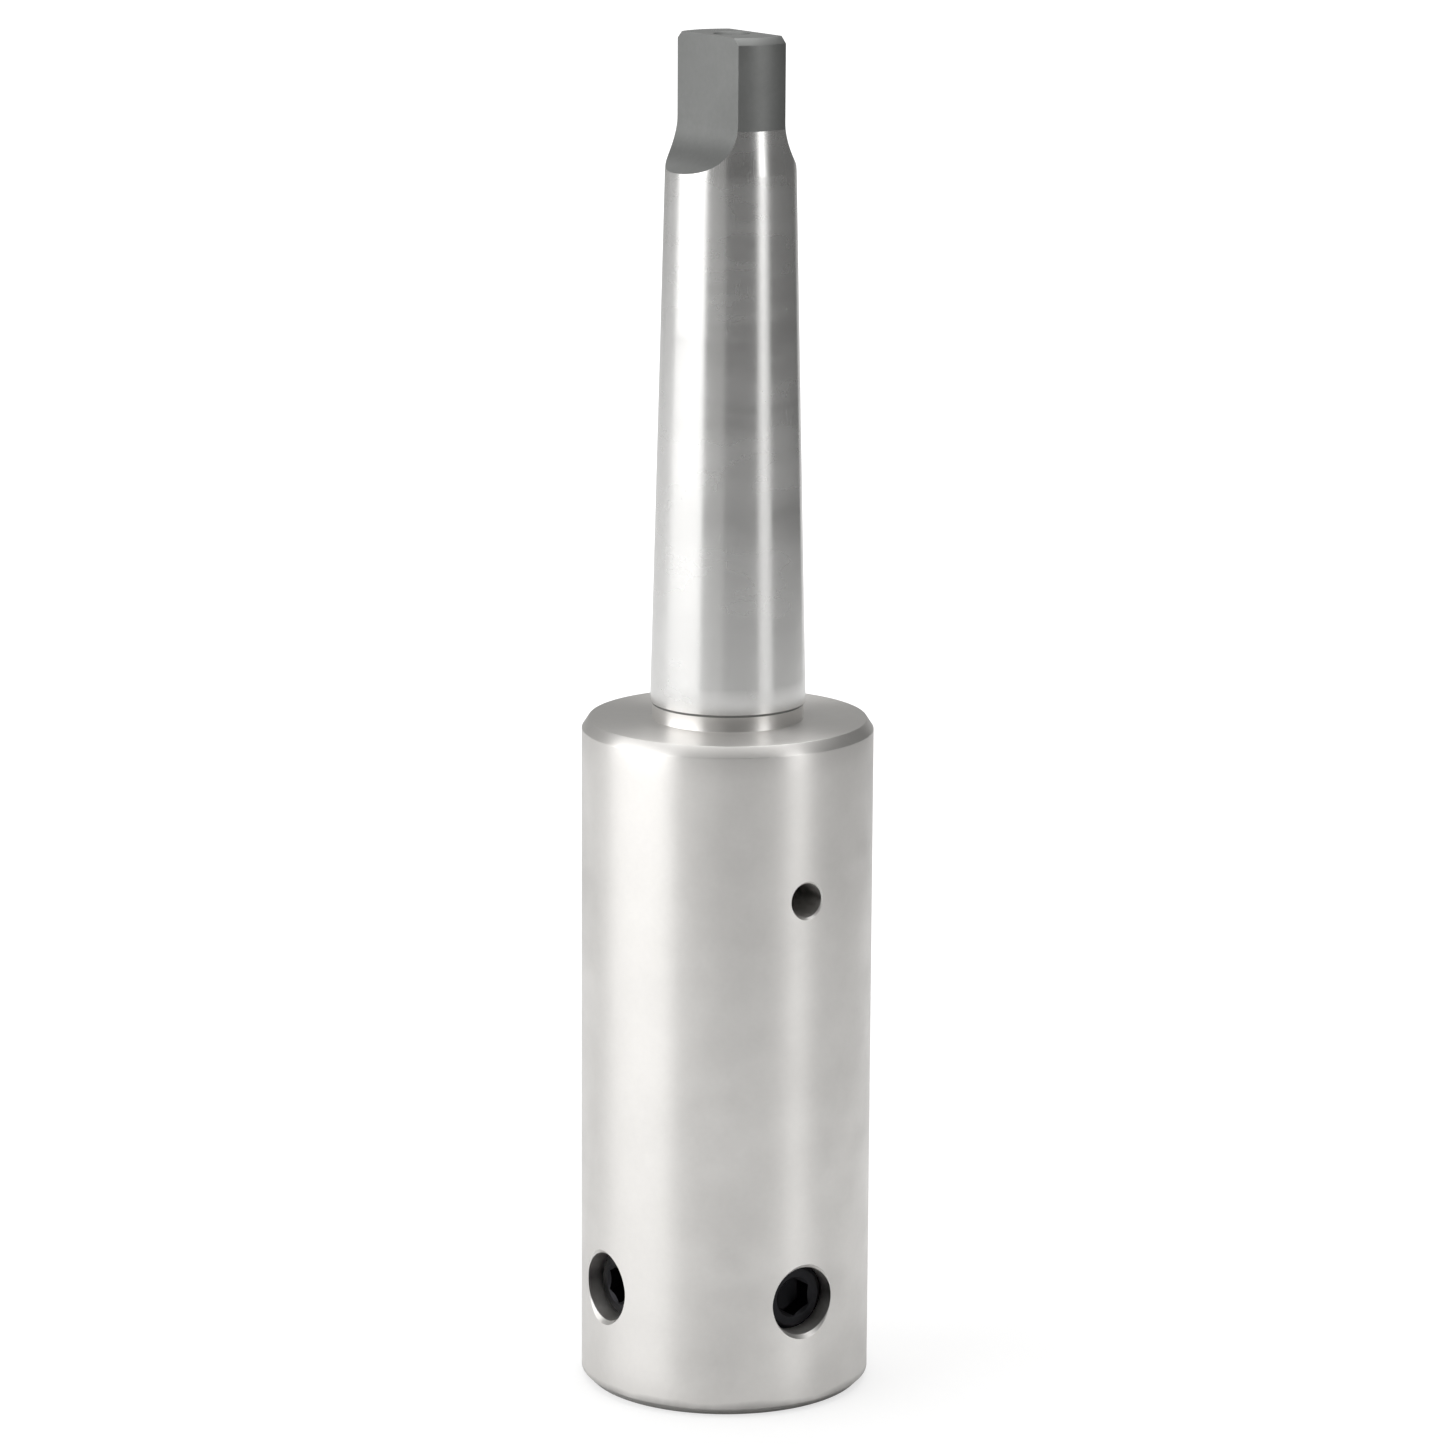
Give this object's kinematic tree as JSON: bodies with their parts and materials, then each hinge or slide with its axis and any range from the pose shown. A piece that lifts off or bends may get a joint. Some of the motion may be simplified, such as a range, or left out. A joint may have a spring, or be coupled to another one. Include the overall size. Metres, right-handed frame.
{
  "type": "annular cutter arbor",
  "caption": "Tanged Morse taper arbor for annular cutters, with a bored socket, radial clamp screws and a sprung coolant valve inside.",
  "frame": {"origin": "centre of the open face of the socket, on the arbor's axis", "axes": "+Z along the axis from the open face to the tang; -Y through the front clamp screw and the coolant hole; -X through the side clamp screw; the tang's flats face +X and -X"},
  "size_m": [0.0336, 0.0336, 0.1566],
  "materials": {
    "ground_steel": "turned and ground, satin",
    "black_oxide_steel": "black oxide, lightly oiled",
    "plunger_steel": "turned, bright",
    "spring_steel": "bright drawn wire",
    "phosphated_steel": "phosphated, oiled",
    "washer_steel": "zinc plated",
    "seal_rubber": "matt nitrile rubber"
  },
  "bodies": {
    "arbor": {"arbor_body": "ground_steel", "retaining_ring": "phosphated_steel", "seal_washer": "washer_steel", "valve_seal": "seal_rubber"},
    "front_screw": {"set_screw_front": "black_oxide_steel"},
    "side_screw": {"set_screw_side": "black_oxide_steel"},
    "plunger": {"ejector_plunger": "plunger_steel", "ejector_spring": "spring_steel"}
  },
  "joints": [
    {"name": "front_screw_feed", "type": "slide", "parent": "arbor", "child": "front_screw", "axis": [0, 1, 0], "range_m": [-0.002, 0.0016]},
    {"name": "side_screw_feed", "type": "slide", "parent": "arbor", "child": "side_screw", "axis": [1, 0, 0], "range_m": [-0.002, 0.0016]},
    {"name": "plunger_slide", "type": "slide", "parent": "arbor", "child": "plunger", "axis": [0, 0, 1], "range_m": [0, 0.014], "stiffness_N_per_m": 2400, "springref_m": -0.005, "deforming": ["ejector_spring"]}
  ]
}
